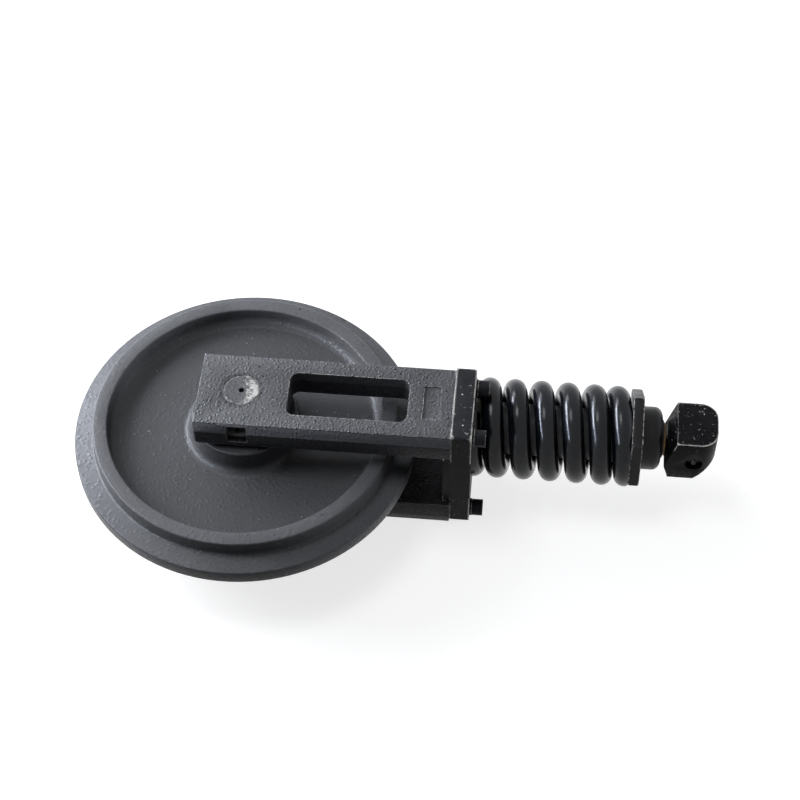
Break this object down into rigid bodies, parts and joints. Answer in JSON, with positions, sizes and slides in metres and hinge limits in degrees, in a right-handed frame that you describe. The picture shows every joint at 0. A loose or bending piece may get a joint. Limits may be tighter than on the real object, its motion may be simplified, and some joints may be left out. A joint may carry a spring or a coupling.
{
  "type": "excavator front idler",
  "caption": "Excavator front idler: flanged wheel on a fixed shaft between windowed fork arms, with yoke plate, recoil spring and grease-cylinder track adjuster behind.",
  "frame": {"origin": "centre of the idler wheel, on its axis and in the middle plane of its flange", "axes": "+X from the wheel towards the rear end block, +Z along the wheel's axis (up as the assembly lies on its side), +Y to the side that the tensioner's axis is offset to"},
  "size_m": [0.6995, 0.374, 0.156],
  "materials": {
    "cast_grey": "satin dark grey paint over a cast skin",
    "black_paint": "black paint, satin, worn to bare metal at the edges",
    "spring_enamel": "black enamel, glossy",
    "black_oxide": "black oxide screws, satin",
    "shaft_steel": "turned steel, partly overpainted",
    "rod_chrome": "hard chrome under grease",
    "bronze": "bearing bronze",
    "seal_iron": "lapped chilled iron",
    "seal_rubber": "nitrile rubber",
    "plated_steel": "zinc plated, dulled"
  },
  "bodies": {
    "fork": {"upper_arm": "cast_grey", "lower_arm": "cast_grey", "idler_shaft": "shaft_steel", "lock_pins": "shaft_steel", "shaft_o_rings": "seal_rubber", "upper_arm_seal_ring": "seal_iron", "lower_arm_seal_ring": "seal_iron", "upper_arm_toric": "seal_rubber", "lower_arm_toric": "seal_rubber", "yoke_plate": "black_paint", "guide_bush": "bronze", "yoke_bolts": "black_oxide", "yoke_washers": "black_oxide", "recoil_spring": "spring_enamel"},
    "wheel": {"idler_wheel": "cast_grey", "upper_bush": "bronze", "lower_bush": "bronze", "upper_hub_seal_ring": "seal_iron", "lower_hub_seal_ring": "seal_iron", "upper_hub_toric": "seal_rubber", "lower_hub_toric": "seal_rubber"},
    "cylinder": {"grease_cylinder": "black_paint", "spring_nut": "black_paint", "rod_guide": "bronze", "rod_wiper": "seal_rubber"},
    "rod": {"piston_rod": "rod_chrome", "piston_seal": "seal_rubber", "wear_ring": "bronze", "end_block": "black_paint", "grease_valve": "plated_steel", "grease_nipple": "plated_steel"}
  },
  "joints": [
    {"name": "wheel_spin", "type": "hinge", "parent": "fork", "child": "wheel", "pos_m": [0, 0, 0], "axis": [0, 0, 1], "continuous": true},
    {"name": "recoil_slide", "type": "slide", "parent": "fork", "child": "cylinder", "axis": [-1, 0, 0], "range_m": [0, 0.018], "stiffness_N_per_m": 1200000, "deforming": ["recoil_spring"]},
    {"name": "adjuster_slide", "type": "slide", "parent": "cylinder", "child": "rod", "axis": [1, 0, 0], "range_m": [0, 0.07]}
  ]
}
